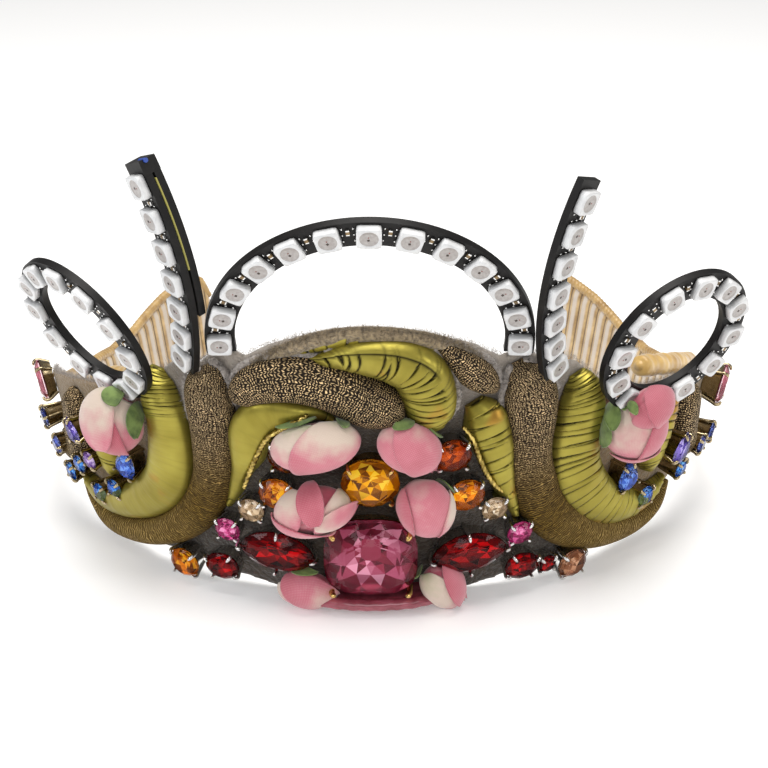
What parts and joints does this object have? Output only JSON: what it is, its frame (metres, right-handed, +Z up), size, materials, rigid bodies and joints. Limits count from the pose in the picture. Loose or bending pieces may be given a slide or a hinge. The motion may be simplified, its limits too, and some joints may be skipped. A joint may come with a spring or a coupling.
{
  "type": "diadem",
  "caption": "Padded diadem with gathered foil and knit scrolls, fabric rosebuds, cut stones and standing strips of small square light modules.",
  "frame": {"origin": "middle of the head ring, at its widest line, in the plane of its lower rim", "axes": "+X to the right as seen from the front, -Y out of the front, +Z up"},
  "size_m": [0.1693, 0.161, 0.1097],
  "materials": {
    "felt": "matt taupe felt",
    "ribbed_satin": "gold ribbed satin",
    "gold_satin": "smooth gold satin",
    "lame": "dark knit with pale gold yarn",
    "foil": "gathered olive gold foil fabric",
    "gold_wire": "twisted wire",
    "pink_piping": "corded satin",
    "board": "black circuit board",
    "light_module": "white light module",
    "gold_claws": "polished gold plate",
    "silver_claws": "polished silver plate",
    "copper_claws": "rose gold plate",
    "petals": "woven pink fabric with green sepals",
    "rose_stone": "cut and polished",
    "citrine": "cut and polished",
    "dark_amber": "cut and polished",
    "amber": "cut and polished",
    "champagne": "cut and polished",
    "red_stone": "cut and polished",
    "pink_stone": "cut and polished",
    "brown_stone": "cut and polished",
    "blue_stone": "cut and polished"
  },
  "bodies": {
    "root": {"headband": "felt", "leg_left": "ribbed_satin", "leg_right": "ribbed_satin", "lame_column_left": "lame", "lame_column_right": "lame", "lame_scroll": "lame", "lame_patch": "lame", "lame_side_left": "lame", "lame_side_right": "lame", "foil_horn": "foil", "foil_leaf_left": "foil", "foil_leaf_right": "foil", "foil_crescent_left": "foil", "foil_crescent_right": "foil", "foil_side_left": "foil", "foil_side_right": "foil", "satin_roll_left": "gold_satin", "satin_roll_right": "gold_satin", "pink_piping": "pink_piping", "leaf_trim_left": "gold_wire", "leaf_trim_right": "gold_wire", "arch_board": "board", "spike_board_left": "board", "spike_board_right": "board", "loop_board_left": "board", "loop_board_right": "board", "arch_lights": "light_module", "spike_lights": "light_module", "loop_lights": "light_module", "settings_gold": "gold_claws", "settings_silver": "silver_claws", "settings_copper": "copper_claws", "side_stones_left": "blue_stone", "side_stones_right": "blue_stone", "bud_top_left": "petals", "bud_top_right": "petals", "bud_mid_left": "petals", "bud_mid_right": "petals", "bud_low_left": "petals", "bud_low_right": "petals", "bud_side_left": "petals", "bud_side_right": "petals", "stone_cushion": "rose_stone", "stone_citrine": "citrine", "stone_dark_amber_left": "dark_amber", "stone_dark_amber_right": "dark_amber", "stone_amber_left": "amber", "stone_amber_right": "amber", "stone_champagne_left": "champagne", "stone_champagne_right": "champagne", "stone_navette_left": "red_stone", "stone_navette_right": "red_stone", "stone_pink_left": "pink_stone", "stone_pink_right": "pink_stone", "stone_ruby_left": "red_stone", "stone_ruby_right": "red_stone", "stone_end_left": "amber", "stone_end_right": "brown_stone", "stone_small_red": "red_stone"}
  },
  "joints": []
}
